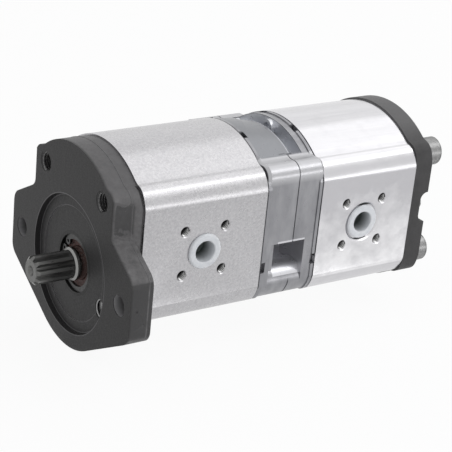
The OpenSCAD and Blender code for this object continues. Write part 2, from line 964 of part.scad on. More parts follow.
// One middle plate from x on: its rim, its inset sides and the groove round the seam
module plate_blank(x, len, rim_x, rim_l, sides_x) {
    along_x(rim_x, rim_l)
        outline();
    along_x(sides_x, len - seam_groove_w)
        outline(-plate_inset, half_w - plate_inset, true);
    along_x(x, len)
        outline(-plate_inset - seam_groove_depth, half_w - plate_inset - seam_groove_depth, true);
}

module front_end_plate() {
    color([0.62, 0.62, 0.64])
        difference() {
            plate_blank(front_plate_x, front_plate_t, front_plate_x, rim_t, front_plate_x);
            both_sides() {
                along_x(front_pocket_x, pocket_step)
                    side_pocket_outline(pocket_step_depth);
                along_x(front_pocket_x + pocket_step, seam_x - front_pocket_x - pocket_step + over)
                    side_pocket_outline(pocket_depth);
            }
            both_crowns() {
                along_x(front_pocket_x, seam_x - front_pocket_x + over)
                    crown_pocket_outline(crown_shelf_depth);
                crown_scoop();
            }
            pry_notches(front_plate_x - skin);
            rod(front_plate_x - over, front_plate_t + 2 * over, journal_hole_r);
            rod(front_plate_x + plate_wall, front_plate_t, coupling_bore_r);
            at_screws()
                rod(front_plate_x - over, front_plate_t + 2 * over, screw_d / 2 + screw_gap);
            dowel_holes(front_plate_x);
            dowel_holes(seam_x);
        }
}

module rear_end_plate() {
    channel_x = seam_x + crown_ledge_l;
    wall_x = rear_body_x - channel_wall;
    boss_z = mid_z + body_h / 2 - plate_inset - boss_r - boss_sunk;
    color([0.58, 0.58, 0.6])
        difference() {
            union() {
                difference() {
                    plate_blank(seam_x, rear_plate_t, rear_body_x - rim_t, rim_t - rim_gap,
                                seam_x + seam_groove_w);
                    both_crowns() {
                        along_x(seam_x - over, crown_ledge_l + over)
                            crown_pocket_outline(crown_ledge_depth);
                        along_x(channel_x, wall_x - channel_x)
                            crown_pocket_outline(crown_pocket_depth);
                    }
                }
                rod(wall_x - boss_l, boss_l + over, boss_r, z = boss_z);
            }
            rod(wall_x - boss_l - over, boss_hole_depth + over, boss_hole_r, z = boss_z);
            both_sides()
                along_x(seam_x - over, rear_plate_t - rear_pocket_wall + over)
                    side_pocket_outline(pocket_depth);
            pry_notches(rear_body_x - notch_l + skin);
            rod(seam_x - over, rear_plate_t + 2 * over, journal_hole_r);
            rod(seam_x - over, rear_plate_t - plate_wall + over, coupling_bore_r);
            plate_seal_ring(over, 0);
            at_screws()
                rod(seam_x - over, rear_plate_t + 2 * over, screw_d / 2 + screw_gap);
            dowel_holes(seam_x);
            dowel_holes(rear_body_x);
        }
}

// Seal round the coupling between the two plates, or its groove
module plate_seal_ring(ahead, gap) {
    difference() {
        rod(seam_x - ahead, plate_seal_t + ahead - gap, plate_seal_out - gap);
        rod(seam_x - ahead - over, plate_seal_t + ahead + 2 * over, plate_seal_in + gap);
    }
}

module plate_seal() {
    color([0.08, 0.08, 0.08])
        plate_seal_ring(0, 0.1);
}

// Rear cover with a round-cornered channel across its back
module rear_cover() {
    mid = mid_z + channel_up;
    r = min(channel_depth - 0.6, channel_h / 2 - 1);
    color([0.29, 0.29, 0.3])
        difference() {
            along_x(rear_cover_x, rear_cover_t)
                outline(rear_cover_grow);
            translate([rear_face_x - channel_depth, -body_w, mid - channel_h / 2 + r])
                cube([channel_depth + over, 2 * body_w, channel_h - 2 * r]);
            translate([rear_face_x - channel_depth + r, -body_w, mid - channel_h / 2])
                cube([channel_depth - r + over, 2 * body_w, channel_h]);
            for (s = [-1, 1])
                translate([rear_face_x - channel_depth + r, -body_w, mid + s * (channel_h / 2 - r)])
                    rotate([-90, 0, 0])
                        cylinder(h = 2 * body_w, r = r);
            at_screws()
                rod(rear_cover_x - over, rear_cover_t + 2 * over, screw_d / 2 + screw_gap);
            dowel_holes(rear_cover_x);
            rod(blank_x - blank_sunk, blank_sunk + over, blank_d / 2 - blank_neck,
                y = blank_y, z = blank_z);
        }
}

// Blanking plug with a hexagon socket, screwed into the floor of the channel
module channel_plug() {
    head = 2.6;
    socket_depth = 2;
    color([0.7, 0.7, 0.7])
        difference() {
            union() {
                rod(blank_x, head, blank_d / 2, y = blank_y, z = blank_z);
                rod(blank_x - blank_sunk + 0.5, blank_sunk, blank_d / 2 - blank_neck - slip_fit,
                    y = blank_y, z = blank_z);
            }
            translate([blank_x + head - socket_depth, blank_y, blank_z])
                rotate([0, 90, 0])
                    cylinder(h = socket_depth + over, r = blank_d / 4, $fn = 6);
        }
}

// The four long socket-head screws that hold the stack together
module long_screws() {
    under = rear_face_x + washer_t;
    edge = 1;
    socket_r = 0.8 * screw_d / 2 / cos(30);
    socket_depth = 5;
    color([0.72, 0.72, 0.72])
        at_screws()
            difference() {
                union() {
                    rod(screw_tip, under - screw_tip + over, screw_d / 2);
                    rod(under, screw_head_h - edge, screw_head_d / 2);
                    taper(under + screw_head_h - edge, edge, screw_head_d / 2,
                          screw_head_d / 2 - edge);
                }
                translate([under + screw_head_h - socket_depth, 0, 0])
                    rotate([0, 90, 0])
                        cylinder(h = socket_depth + over, r = socket_r, $fn = 6);
            }
}

module screw_washers() {
    past_head = 0.6;
    gap = 0.25;
    color([0.75, 0.75, 0.75])
        at_screws()
            difference() {
                rod(rear_face_x, washer_t, screw_head_d / 2 + past_head);
                rod(rear_face_x - over, washer_t + 2 * over, screw_d / 2 + gap);
            }
}

// Two dowel pins at each of the five joints
module dowel_pins() {
    color([0.65, 0.65, 0.67])
        for (x = [front_body_x, front_plate_x, seam_x, rear_body_x, rear_cover_x])
            at_dowels()
                rod(x - dowel_l / 2, dowel_l, dowel_d / 2);
}

// Hollow transport cap: a bevelled rim on the port face and a cup that plugs the bore
module port_cap(x, side, bore, sunk) {
    plug = bore / 2 - 0.1;
    rim = bore / 2 + cap_rim;
    hole = plug - cap_wall;
    color([0.8, 0.84, 0.86])
        translate([x, side * (half_w - sunk), mid_z])
            rotate([side * 90, 0, 0])
                rotate_extrude()
                    polygon([
                        [0, cap_len], [plug - 0.6, cap_len], [plug, cap_len - 1], [plug, 0],
                        [rim, 0], [rim, -cap_rim_t * 0.5], [rim - 0.8, -cap_rim_t],
                        [hole + 0.4, -cap_rim_t], [hole, -cap_rim_t + 0.4],
                        [hole - 0.8, cap_len - cap_wall], [0, cap_len - cap_wall]
                    ]);
}

module front_pressure_cap() {
    port_cap(front_port_x, -1, pressure_bore, 0);
}

module rear_pressure_cap() {
    port_cap(rear_port_x, -1, pressure_bore, spot_depth);
}

module front_suction_cap() {
    port_cap(front_port_x, 1, suction_bore, 0);
}

module rear_suction_cap() {
    port_cap(rear_port_x, 1, suction_bore, 0);
}

front_cover();
shaft_seal();
seal_retaining_ring();
drive_shaft();
front_driven_gear();
front_body();
front_block_ahead();
front_block_behind();
front_bushes();
front_block_seals();
front_body_seals();
front_end_plate();
plate_seal();
shaft_coupling();
rear_end_plate();
rear_body();
rear_drive_gear();
rear_driven_gear();
rear_block_ahead();
rear_block_behind();
rear_bushes();
rear_block_seals();
rear_body_seals();
rear_cover();
channel_plug();
long_screws();
screw_washers();
dowel_pins();
front_pressure_cap();
rear_pressure_cap();
front_suction_cap();
rear_suction_cap();
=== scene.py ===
# %% [markdown]
# # A tandem gear pump under soft studio light
# The pump is a stack: a dark iron cover with a mounting flange, two aluminium gear bodies with
# cast plates between them, a second iron cover, and four long screws through it all. The packed
# model already holds every piece at its real size. This lesson gives those pieces their rounded
# edges, threads and surface finishes, and then lights them like a catalogue picture.

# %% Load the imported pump
import bpy
import json
import math
from mathutils import Matrix, Vector

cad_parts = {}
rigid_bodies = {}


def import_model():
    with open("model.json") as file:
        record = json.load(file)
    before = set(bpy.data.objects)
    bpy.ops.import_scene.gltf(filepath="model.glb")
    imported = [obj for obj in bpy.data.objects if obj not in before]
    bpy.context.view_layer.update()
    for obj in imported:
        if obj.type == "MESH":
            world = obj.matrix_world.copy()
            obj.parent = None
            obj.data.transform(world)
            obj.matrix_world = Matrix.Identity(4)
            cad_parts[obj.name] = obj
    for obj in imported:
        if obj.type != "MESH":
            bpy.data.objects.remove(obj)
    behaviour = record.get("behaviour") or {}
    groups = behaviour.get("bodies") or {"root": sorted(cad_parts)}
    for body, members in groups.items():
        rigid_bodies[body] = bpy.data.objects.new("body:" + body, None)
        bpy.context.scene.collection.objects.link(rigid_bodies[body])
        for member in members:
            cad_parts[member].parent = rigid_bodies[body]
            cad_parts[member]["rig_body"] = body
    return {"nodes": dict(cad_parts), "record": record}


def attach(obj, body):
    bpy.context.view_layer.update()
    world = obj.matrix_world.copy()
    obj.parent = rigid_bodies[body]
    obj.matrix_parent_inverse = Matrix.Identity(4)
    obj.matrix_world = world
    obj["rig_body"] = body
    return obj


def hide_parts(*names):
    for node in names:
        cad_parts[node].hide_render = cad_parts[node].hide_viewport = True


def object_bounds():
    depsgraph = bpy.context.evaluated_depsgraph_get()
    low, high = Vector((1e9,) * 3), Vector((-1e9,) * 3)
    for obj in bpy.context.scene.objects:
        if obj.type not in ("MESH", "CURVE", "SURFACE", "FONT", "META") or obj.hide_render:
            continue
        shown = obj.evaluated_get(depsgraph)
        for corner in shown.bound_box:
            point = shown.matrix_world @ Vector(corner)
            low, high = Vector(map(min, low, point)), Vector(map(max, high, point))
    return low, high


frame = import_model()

cad_low, cad_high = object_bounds()
nodes = frame["nodes"]
print("loaded", len(nodes), "nodes")

# %% [markdown]
# ## Sizes that the looks need
# Threads and finishes are placed by the pump's own sizes. X runs back along the shaft from the
# mounting face, Z runs up from the shaft to the driven gears, and the pressure ports face -Y.
# Each value is in millimetres, and MM turns it into metres.

# %% Sizes in millimetres
MM = 0.001
GEAR_MIDDLE = 17.0
CROWN_Z = 15.0
SCREW_AT = 30.0
EAR_HOLE_AT = 53.2
PORT_FACE = 44.0
PORT_EDGE = 27.5
FRONT_PORT_X = 55.2
REAR_PORT_X = 160.2
FRONT_JOINT = 92.9
REAR_JOINT = 129.7
PARTING_X = 10.6
RECESS_R = 37.8
TURNED_R = 31.4
print("the ports are", round(REAR_PORT_X - FRONT_PORT_X), "mm apart")

# %% [markdown]
# ## Camera
# The camera stands in front of the pump, on the side of its pressure ports and a little above
# it. Its place, its direction and its long lens were worked out from the corners and holes of
# the picture. A long lens from far away keeps the edges of the stack nearly parallel.

# %% Set up the camera
RIGHT = Vector((0.82928, -0.55112, 0.09253))
DOWN = Vector((-0.14558, -0.37291, -0.91637))
AHEAD = Vector((0.53953, 0.74646, -0.38948))
CAMERA_AT = Vector((-0.370901, -0.650612, 0.3456))
LENS = 124.365
SENSOR = 36.0
FAR_ENOUGH = 20.0

lens = bpy.data.cameras.new("studio_camera")
lens.lens = LENS
lens.sensor_width = SENSOR
lens.clip_end = FAR_ENOUGH
camera = bpy.data.objects.new("studio_camera", lens)
bpy.context.scene.collection.objects.link(camera)
facing = Matrix((RIGHT, -DOWN, -AHEAD)).transposed().to_4x4()
camera.matrix_world = Matrix.Translation(CAMERA_AT) @ facing
bpy.context.scene.camera = camera
print("camera looks along", tuple(round(a, 2) for a in AHEAD))

# %% [markdown]
# ## Working on one piece
# An operator acts on everything that is selected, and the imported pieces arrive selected, so each
# step first selects the one piece that it means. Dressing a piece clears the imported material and
# gives it its own finish.

# %% Helpers that act on one piece
def select_only(obj):
    for other in bpy.context.selected_objects:
        other.select_set(False)
    obj.select_set(True)
    bpy.context.view_layer.objects.active = obj


def apply_modifiers(obj):
    select_only(obj)
    for modifier in list(obj.modifiers):
        bpy.ops.object.modifier_apply(modifier=modifier.name)


def smooth(obj, angle=35):
    select_only(obj)
    bpy.ops.object.shade_smooth_by_angle(angle=math.radians(angle))


def dress(obj, material):
    obj.data.materials.clear()
    obj.data.materials.append(material)


print("one piece at a time")

# %% [markdown]
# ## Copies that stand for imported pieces
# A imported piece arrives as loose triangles, so a copy of it is merged first and its flat faces
# are joined again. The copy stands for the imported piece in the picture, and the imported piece
# itself is left alone. Anything added, such as a thread, belongs to the piece that carries it.

# %% Helpers for copies and for what they belong to
MERGE_WITHIN = 0.002
FLAT_WITHIN = 0.5
slots = {row["node"]: row["material_slot"] for row in frame["record"]["subparts"]}


def copy_of(node, name):
    obj = nodes[node].copy()
    obj.data = nodes[node].data.copy()
    obj.parent = None
    obj.name = name
    for key in list(obj.keys()):
        del obj[key]
    bpy.context.scene.collection.objects.link(obj)
    obj.hide_render = False
    obj.hide_viewport = False
    obj.hide_set(False)
    select_only(obj)
    bpy.ops.object.mode_set(mode="EDIT")
    bpy.ops.mesh.select_all(action="SELECT")
    bpy.ops.mesh.remove_doubles(threshold=MERGE_WITHIN * MM)
    bpy.ops.mesh.dissolve_limited(angle_limit=math.radians(FLAT_WITHIN))
    bpy.ops.object.mode_set(mode="OBJECT")
    return obj


def stand_for(obj, node):
    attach(obj, nodes[node]["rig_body"])
    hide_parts(node)


def belongs_to(obj, node):
    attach(obj, nodes[node]["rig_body"])


print(len(set(slots.values())), "materials are named in the record")

# %% [markdown]
# ## Rounding an edge
# Casting and deburring leave no edge sharp, and the bright line along a rounded edge is what
# makes a metal piece look real. The Bevel modifier rounds the edges that turn by more than
# 30 degrees. Its weights let one piece have wide rounds outside and small ones at its holes. A
# Weighted Normal modifier then keeps the flats flat to the light.

# %% Helpers for rounded edges
SHARP_ABOVE = 30


def sharp_edges(mesh):
    sides = {}
    for face in mesh.polygons:
        for key in face.edge_keys:
            sides.setdefault(key, []).append(face.normal)
    limit = math.cos(math.radians(SHARP_ABOVE))
    return {key for key, pair in sides.items() if len(pair) == 2 and pair[0].dot(pair[1]) < limit}


def rounded(node, name, width, segments, wide, wide_width):
    obj = copy_of(node, name)
    if node in EASED:
        ease_corners(obj, *EASED[node])
    mesh = obj.data
    sharp = sharp_edges(mesh)
    most = max(width, wide_width)
    weights = mesh.attributes.new("bevel_weight_edge", "FLOAT", "EDGE")
    for edge in mesh.edges:
        if edge.key in sharp:
            ends = [mesh.vertices[i].co / MM for i in edge.vertices]
            here = wide_width if wide and all(wide(end) for end in ends) else width
            weights.data[edge.index].value = here / most
    bevel = obj.modifiers.new("edges", "BEVEL")
    bevel.width = most * MM
    bevel.segments = segments
    bevel.limit_method = "WEIGHT"
    apply_modifiers(obj)
    smooth(obj)
    even = obj.modifiers.new("even_flats", "WEIGHTED_NORMAL")
    even.keep_sharp = True
    apply_modifiers(obj)
    return obj


print("edges above", SHARP_ABOVE, "degrees get a round")

# %% [markdown]
# ## Finishes
# Each finish is made from noise in the piece's own coordinates, so nothing slides when the pump
# turns. A mask says where something holds, from 0 to 1: near a height, inside a radius, or on a
# ring. Masks are kept in one class, and what paints with them in the next.

# %% Masks in the piece's own coordinates
class Masks:
    def add(self, kind, **settings):
        node = self.tree.nodes.new(kind)
        for key, value in settings.items():
            setattr(node, key, value)
        return node

    def link(self, a, b):
        self.tree.links.new(a, b)

    def noise(self, grain, stretch=(1, 1, 1), detail=3.0, rough=0.55):
        mapping = self.add("ShaderNodeMapping")
        mapping.inputs["Scale"].default_value = stretch
        self.link(self.coords.outputs["Object"], mapping.inputs["Vector"])
        noise = self.add("ShaderNodeTexNoise")
        noise.inputs["Scale"].default_value = 1 / (grain * MM)
        noise.inputs["Detail"].default_value = detail
        noise.inputs["Roughness"].default_value = rough
        self.link(mapping.outputs["Vector"], noise.inputs["Vector"])
        return noise.outputs["Fac"]

    def maths(self, operation, a, b=0.0):
        node = self.add("ShaderNodeMath", operation=operation)
        for value, socket in ((a, node.inputs[0]), (b, node.inputs[1])):
            if isinstance(value, (int, float)):
                socket.default_value = value
            else:
                self.link(value, socket)
        return node.outputs[0]

    def both(self, a, b):
        return self.maths("MULTIPLY", a, b)

    def either(self, a, b):
        return self.maths("MAXIMUM", a, b)

    def ramp(self, value, low, high, at=(0.3, 0.7)):
        ramp = self.add("ShaderNodeMapRange", clamp=True)
        ramp.inputs["From Min"].default_value = at[0]
        ramp.inputs["From Max"].default_value = at[1]
        ramp.inputs["To Min"].default_value = low
        ramp.inputs["To Max"].default_value = high
        self.link(value, ramp.inputs["Value"])
        return ramp.outputs["Result"]

    def rises(self, value, start, end, most=1.0):
        return self.ramp(value, 0.0, most, at=(start * MM, end * MM))

    def falls(self, value, start, end, most=1.0):
        return self.ramp(value, most, 0.0, at=(start * MM, end * MM))

    def place(self, axis):
        split = self.add("ShaderNodeSeparateXYZ")
        self.link(self.coords.outputs["Object"], split.inputs["Vector"])
        return split.outputs[axis]

    def away(self, value, middle=0.0):
        return self.maths("ABSOLUTE", self.maths("SUBTRACT", value, middle * MM))

    def near(self, axis, middle, reach, soft=0.2):
        return self.falls(self.away(self.place(axis), middle), reach, reach + soft)

    def radius(self, y=0.0, z=0.0):
        shift = self.add("ShaderNodeVectorMath", operation="SUBTRACT")
        self.link(self.coords.outputs["Object"], shift.inputs[0])
        shift.inputs[1].default_value = (0, y * MM, z * MM)
        flat = self.add("ShaderNodeVectorMath", operation="MULTIPLY")
        self.link(shift.outputs["Vector"], flat.inputs[0])
        flat.inputs[1].default_value = (0, 1, 1)
        length = self.add("ShaderNodeVectorMath", operation="LENGTH")
        self.link(flat.outputs["Vector"], length.inputs[0])
        return length.outputs["Value"]

    def ring(self, low, high):
        half = (high - low) / 2
        return self.falls(self.away(self.radius(), low + half), half, half + 0.1)


print("masks: rises, falls, near, radius, ring")

# %% [markdown]
# A finish needs three things: a colour that varies a little, a roughness that varies with it, and
# a fine bump at the size of the real grain. A tint lays a second colour over the first where a
# mask holds, such as the paler line that turning leaves.

# %% The finish itself
class Finish(Masks):
    def __init__(self, name, rough, metallic=0.0):
        self.material = bpy.data.materials.new(name)
        self.material.use_nodes = True
        self.tree = self.material.node_tree
        self.shader = self.tree.nodes["Principled BSDF"]
        self.coords = self.tree.nodes.new("ShaderNodeTexCoord")
        self.set("Metallic", metallic)
        self.set("Roughness", rough)

    def set(self, socket, value):
        self.shader.inputs[socket].default_value = value

    def paint(self, socket):
        self.base = socket
        self.link(socket, self.shader.inputs["Base Color"])

    def colour(self, value, dark, light, at=(0.3, 0.7)):
        ramp = self.add("ShaderNodeValToRGB")
        ramp.color_ramp.elements[0].position = at[0]
        ramp.color_ramp.elements[0].color = (*dark, 1)
        ramp.color_ramp.elements[1].position = at[1]
        ramp.color_ramp.elements[1].color = (*light, 1)
        self.link(value, ramp.inputs["Fac"])
        self.paint(ramp.outputs["Color"])

    def tint(self, mask, rgb):
        mix = self.add("ShaderNodeMix", data_type="RGBA")
        self.link(mask, mix.inputs["Factor"])
        self.link(self.base, mix.inputs["A"])
        mix.inputs["B"].default_value = (*rgb, 1)
        self.paint(mix.outputs["Result"])

    def rough(self, value, low, high):
        self.link(self.ramp(value, low, high), self.shader.inputs["Roughness"])

    def bump(self, heights):
        previous = None
        for value, depth, strength in heights:
            bump = self.add("ShaderNodeBump")
            bump.inputs["Distance"].default_value = depth * MM
            bump.inputs["Strength"].default_value = strength
            self.link(value, bump.inputs["Height"])
            if previous:
                self.link(previous, bump.inputs["Normal"])
            previous = bump.outputs["Normal"]
        self.link(previous, self.shader.inputs["Normal"])


print("a finish has a colour, a roughness and a bump")

# %% [markdown]
# ## Cast iron
# Both covers are grey iron with a sandy skin and a dull dark coat. Two grain sizes of bump give
# the sand and the slow waves of the casting. The rear cover is nearly black, and a painted
# highlight turns it grey towards its top, as if lit from above.

# %% Iron of the rear cover
def iron_skin(f, grain):
    f.set("Specular IOR Level", 0.35)
    f.rough(grain, 0.45, 0.62)
    f.bump([(grain, 0.1, 0.5), (f.noise(3.5), 0.25, 0.5)])
    return f.material


def cast_iron():
    f = Finish("cast_iron", 0.5)
    clouds = f.noise(9)
    grain = f.noise(0.8, detail=4)
    f.colour(clouds, (0.032, 0.031, 0.032), (0.047, 0.0455, 0.0465))
    # Painted highlight: the rear cover turns grey towards its top, as if lit from above.
    f.tint(f.rises(f.place("Z"), 55, 64), (0.115, 0.113, 0.114))
    return iron_skin(f, grain)


IRON = cast_iron()
print("finish:", IRON.name)

# %% [markdown]
# The front cover was milled on its face and turned in its recess. Face and recess are painted
# darker than the side, as shade on the side turned from the lamps, and the seal bore is painted
# near black as shade. Painted highlights make pale rings at the steps. Its side keeps the cloudy
# skin of the mould, with painted shade low down and at the end of the near ear, and a painted
# highlight towards its top. It has a ragged dark stain below the upper screw lobes, and its pale
# parting line is a painted highlight. The ears' holes have a painted highlight at the mouth and
# painted shade inside.

# %% Iron of the front cover
EAR_END = 63.3
STAIN_X, STAIN_Z = 6.8, 41.0
SEAL_BORE_R = 17.7


def stained(f):
    ragged = f.maths("ADD", f.place("Z"), f.ramp(f.noise(4, detail=4), -3 * MM, 3 * MM))
    return f.both(f.falls(f.away(ragged, STAIN_Z), 7, 8, 0.8), f.near("X", STAIN_X, 4.6, 1.0))


def front_cover_iron():
    f = Finish("front_cover_iron", 0.5)
    clouds = f.noise(5, detail=6, rough=0.68)
    grain = f.noise(0.8, detail=4)
    depth, height = f.place("X"), f.place("Z")
    f.colour(clouds, (0.07, 0.068, 0.069), (0.155, 0.151, 0.153))
    # Painted shade: the side is darker low down.
    f.tint(f.falls(height, -16, 4, 0.3), (0.06, 0.059, 0.06))
    # Painted shade on the end of the near ear.
    f.tint(f.falls(f.place("Y"), -EAR_END - 0.2, -EAR_END + 0.2), (0.048, 0.047, 0.048))
    # Painted highlight: the side turns paler towards its top.
    f.tint(f.rises(height, 42, 56, 0.6), (0.115, 0.112, 0.114))
    f.tint(stained(f), (0.045, 0.044, 0.045))
    # Painted shade: the milled face and the turned recess are darker than the side.
    recess = f.falls(f.radius(), RECESS_R + 0.2, RECESS_R + 0.4)
    f.tint(f.either(f.falls(depth, 0.15, 1.6), recess), (0.0225, 0.0217, 0.0222))
    # Painted shade: the seal bore goes near black behind the seal.
    seal_bore = f.falls(f.radius(), SEAL_BORE_R - 0.1, SEAL_BORE_R + 0.1)
    f.tint(f.both(seal_bore, f.rises(depth, 3.0, 3.2)), (0.01, 0.01, 0.01))
    # Painted highlights: pale rings along the edges of the recess steps.
    steps = f.either(f.either(f.ring(36.7, 37.2), f.ring(31.0, 31.5)), f.ring(37.95, 38.3))
    f.tint(steps, (0.11, 0.107, 0.11))
    # Painted highlight: a pale band along the parting line.
    parting = f.both(f.near("X", PARTING_X, 0.3), f.ramp(clouds, 0.2, 0.8))
    f.tint(parting, (0.16, 0.157, 0.16))
    # Painted shade inside the ears' holes, with a painted highlight at their mouths.
    for side in (-EAR_HOLE_AT, EAR_HOLE_AT):
        wall = f.both(f.falls(f.radius(side), 5.7, 6.0), f.rises(depth, 0.2, 0.5))
        f.tint(wall, (0.02, 0.02, 0.02))
        f.tint(f.both(wall, f.falls(depth, 0.5, 6)), (0.3, 0.295, 0.3))
    return iron_skin(f, grain)


COVER_IRON = front_cover_iron()
print("finish:", COVER_IRON.name)

# %% [markdown]
# ## Steel of the shaft
# The spline is hardened and oily, so it is a dark grey with streaks along the teeth. Its paler tips
# are partly rub wear from a coupling and partly a painted highlight. The journal behind it is
# ground round and round. Its highlight is drawn out by a tangent that runs round the X axis.

# %% Steel of the spline and the journal
TOOTH_TIP_R = 7.65


def shaft_steel():
    f = Finish("shaft_steel", 0.3, metallic=0.85)
    streaks = f.noise(1.4, stretch=(0.15, 1, 1), detail=3)
    f.colour(streaks, (0.11, 0.11, 0.107), (0.17, 0.17, 0.166))
    # Paler tooth tips: partly rub wear, partly a painted highlight.
    f.tint(f.rises(f.radius(), TOOTH_TIP_R - 0.05, TOOTH_TIP_R + 0.05), (0.27, 0.27, 0.264))
    f.rough(streaks, 0.27, 0.36)
    f.bump([(streaks, 0.01, 0.2)])
    return f.material


def journal_steel():
    f = Finish("journal_steel", 0.25, metallic=1.0)
    turning = f.noise(0.5, stretch=(1, 0.03, 0.03), detail=2)
    f.colour(turning, (0.52, 0.515, 0.5), (0.62, 0.615, 0.6))
    f.set("Anisotropic", 0.6)
    f.set("Anisotropic Rotation", 0.25)
    around = f.add("ShaderNodeTangent", direction_type="RADIAL", axis="X")
    f.link(around.outputs["Tangent"], f.shader.inputs["Tangent"])
    f.rough(turning, 0.16, 0.22)
    f.bump([(turning, 0.002, 0.15)])
    return f.material


SHAFT_STEEL = shaft_steel()
JOURNAL_STEEL = journal_steel()
print("finishes:", SHAFT_STEEL.name, JOURNAL_STEEL.name)

# %% [markdown]
# ## Aluminium of the two bodies
# Both bodies are cut from extruded bar. The front one was blasted, so it is satin and mottled.
# Inside the ports and the tapped holes there is little light, and both finishes darken there. The
# front one also darkens in the joint to the plate.

# %% Aluminium of the front body
CHAMBER_WALL = 37.0
HOLES_FROM, HOLES_TO = 9.6, 16.0


def darken_holes(f, rgb):
    f.tint(f.both(f.near("Y", 0, CHAMBER_WALL, 0.5), f.near("Z", GEAR_MIDDLE, 20)), rgb)
    beside = f.maths("SUBTRACT", f.near("Z", GEAR_MIDDLE, HOLES_TO),
                     f.near("Z", GEAR_MIDDLE, HOLES_FROM, 0.1))
    f.tint(f.both(f.near("Y", 0, PORT_FACE - 0.9, 0.3), beside), (0.05, 0.05, 0.05))


def blasted_aluminium():
    f = Finish("blasted_aluminium", 0.3, metallic=0.92)
    f.colour(f.noise(1.3, detail=6, rough=0.8), (0.38, 0.375, 0.39), (0.585, 0.58, 0.59))
    darken_holes(f, (0.07, 0.068, 0.066))
    f.tint(f.near("X", FRONT_JOINT, 0.25), (0.12, 0.12, 0.125))
    f.rough(f.noise(5), 0.26, 0.3)
    f.bump([(f.noise(0.7, detail=4), 0.04, 0.4)])
    return f.material


BLASTED = blasted_aluminium()
print("finish:", BLASTED.name)

# %% [markdown]
# The rear body was left as drawn, so it is brighter and smoother, with faint lines along the bar.
# Its port faces are milled. They are greyer at the top and brighter towards the bottom, and faint
# smudges lie over the whole body.

# %% Aluminium of the rear body
def drawn_aluminium():
    f = Finish("drawn_aluminium", 0.2, metallic=0.92)
    lines = f.noise(1.6, stretch=(0.04, 1, 1), detail=3)
    f.colour(lines, (0.6, 0.595, 0.615), (0.635, 0.63, 0.645))
    milled = f.rises(f.away(f.place("Y")), PORT_FACE - 0.6, PORT_FACE - 0.4)
    f.tint(milled, (0.53, 0.525, 0.545))
    uneven = f.maths("ADD", f.place("Z"), f.ramp(f.noise(14, detail=4), -18 * MM, 18 * MM))
    f.tint(f.both(f.falls(uneven, -14, 34), milled), (0.82, 0.815, 0.83))
    smudge = f.ramp(f.noise(11, stretch=(1, 1, 1.6), detail=4), 0.0, 0.5, at=(0.5, 0.72))
    f.tint(smudge, (0.56, 0.555, 0.575))
    darken_holes(f, (0.09, 0.088, 0.086))
    f.rough(f.noise(8), 0.16, 0.24)
    f.bump([(lines, 0.008, 0.2), (f.noise(0.9), 0.012, 0.2)])
    return f.material


DRAWN = drawn_aluminium()
print("finish:", DRAWN.name)

# %% [markdown]
# ## Die-cast plates
# The middle plates are pressure cast, so they are grey and glossy with soft flow marks. The skin is
# dark on the front plate's crown. A painted highlight makes the upper corners pale, and painted
# light makes the trench and the side pockets brightest, against the shade inside them. A dark line
# shows at each joint to a body.

# %% Alloy of the middle plates
CROWN_HALF_WIDTH = 30.2
TRENCH_X, TRENCH_R = 121.8, 51.6
POCKET_X, POCKET_Z = 112.3, 3.0


def die_cast():
    f = Finish("die_cast", 0.38, metallic=0.75)
    flow = f.noise(7, stretch=(1, 1, 0.4), detail=3)
    height, aside = f.place("Z"), f.away(f.place("Y"))
    f.colour(flow, (0.24, 0.24, 0.255), (0.33, 0.33, 0.345))
    crown = f.both(f.near("Y", 0, CROWN_HALF_WIDTH), f.rises(height, 45, 46))
    f.tint(f.both(crown, f.near("X", 106, 11)), (0.235, 0.24, 0.255))
    # Painted highlight: the upper corners of the plates are paler.
    lobes = f.rises(aside, CROWN_HALF_WIDTH, CROWN_HALF_WIDTH + 0.8)
    f.tint(f.both(f.rises(height, 46.5, 50, 0.8), lobes), (0.5, 0.5, 0.515))
    # Painted light in the trench, against the shade inside it.
    trench = f.both(f.falls(f.radius(z=CROWN_Z), TRENCH_R, TRENCH_R + 0.8),
                    f.near("X", TRENCH_X, 4.6))
    f.tint(f.both(trench, crown), (0.62, 0.63, 0.66))
    # Painted light in the side pockets, against the shade inside them.
    f.tint(f.both(f.near("X", POCKET_X, 8.8), f.near("Z", POCKET_Z, 10.5)), (0.62, 0.62, 0.645))
    joints = f.either(f.near("X", FRONT_JOINT, 0.3), f.near("X", REAR_JOINT, 0.3))
    f.tint(joints, (0.05, 0.05, 0.055))
    f.rough(f.noise(2.5), 0.27, 0.35)
    f.bump([(f.noise(1.2), 0.03, 0.2), (flow, 0.1, 0.2)])
    return f.material


DIE_CAST = die_cast()
print("finish:", DIE_CAST.name)

# %% [markdown]
# ## Plain machined metal
# Gears, blocks, bushes, the circlip and the plated screws share one finish: fine turning lines
# that run round the X axis, in the colour of each metal.

# %% Machined metals
def machined(name, dark, light, rough):
    f = Finish(name, rough, metallic=1.0)
    lines = f.noise(0.35, stretch=(1, 0.2, 0.2), detail=3)
    f.colour(lines, dark, light)
    f.rough(lines, rough - 0.05, rough + 0.08)
    f.bump([(lines, 0.02, 0.4)])
    return f.material


GEAR_STEEL = machined("gear_steel", (0.42, 0.42, 0.43), (0.5, 0.5, 0.51), 0.25)
RING_STEEL = machined("ring_steel", (0.03, 0.03, 0.03), (0.07, 0.07, 0.07), 0.3)
ZINC = machined("zinc_plate", (0.22, 0.22, 0.22), (0.33, 0.33, 0.33), 0.32)
BLOCK = machined("block_alloy", (0.48, 0.48, 0.46), (0.56, 0.56, 0.54), 0.4)
BRONZE = machined("bush_bronze", (0.42, 0.26, 0.12), (0.52, 0.34, 0.17), 0.35)
print("finishes:", GEAR_STEEL.name, RING_STEEL.name, ZINC.name, BLOCK.name, BRONZE.name)

